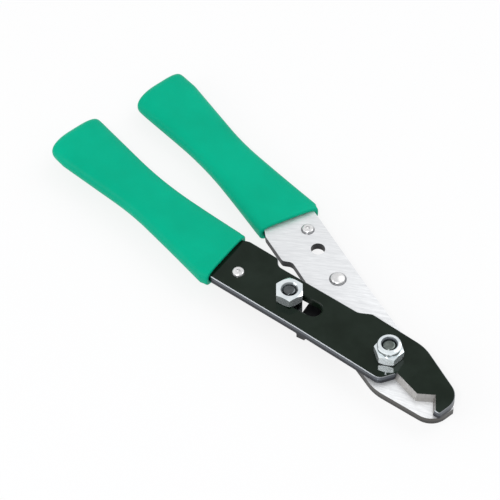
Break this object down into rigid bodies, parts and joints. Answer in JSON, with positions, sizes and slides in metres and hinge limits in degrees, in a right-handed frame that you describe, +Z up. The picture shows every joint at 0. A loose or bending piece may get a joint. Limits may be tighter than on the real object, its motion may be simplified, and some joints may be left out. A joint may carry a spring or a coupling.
{
  "type": "wire stripper and cutter",
  "caption": "Adjustable hand wire stripper: two flat steel levers crossed on one pivot, notched shear jaws, a sliding screw stop, an underside latch and dipped green grips.",
  "frame": {"origin": "centre of the tool's box in plan, on the surface that it lies on", "axes": "+X to the nose, +Z up, handle of the upper lever on the -Y side"},
  "size_m": [0.1378, 0.0476, 0.0126],
  "materials": {
    "black_steel": "glossy black oxide",
    "ground_steel": "surface ground, bright",
    "grip_green": "smooth dipped vinyl, satin",
    "zinc": "bright zinc plate",
    "nylon": "dark",
    "rivet_steel": "bright plated",
    "latch_steel": "satin black oxide"
  },
  "bodies": {
    "upper_half": {"upper_lever": "black_steel", "upper_grip": "grip_green", "upper_rivet": "rivet_steel", "pivot_bolt": "zinc", "pivot_lock_nut": "zinc", "nylon_insert": "nylon"},
    "lower_half": {"lower_lever": "ground_steel", "lower_grip": "grip_green", "lower_rivet": "rivet_steel", "latch_rivet": "rivet_steel"},
    "latch_arm": {"latch": "latch_steel"},
    "stop_screw": {"stop_bolt": "zinc"},
    "stop_hex": {"stop_nut": "zinc"}
  },
  "joints": [
    {"name": "lever_pivot", "type": "hinge", "parent": "upper_half", "child": "lower_half", "pos_m": [0.04662, 0, 0.004], "axis": [0, 0, -1], "range_deg": [0, 25]},
    {"name": "stop_slide", "type": "slide", "parent": "upper_half", "child": "stop_screw", "axis": [0.96, 0.28, 0], "range_m": [-0.001, 0.0063]},
    {"name": "stop_nut_turn", "type": "hinge", "parent": "stop_screw", "child": "stop_hex", "pos_m": [0.01523, -0.007, 0.00765], "axis": [0, 0, 1], "continuous": true},
    {"name": "latch_swing", "type": "hinge", "parent": "lower_half", "child": "latch_arm", "pos_m": [0.01783, 0.008, 0.002], "axis": [0, 0, 1], "range_deg": [-29, 15]}
  ]
}
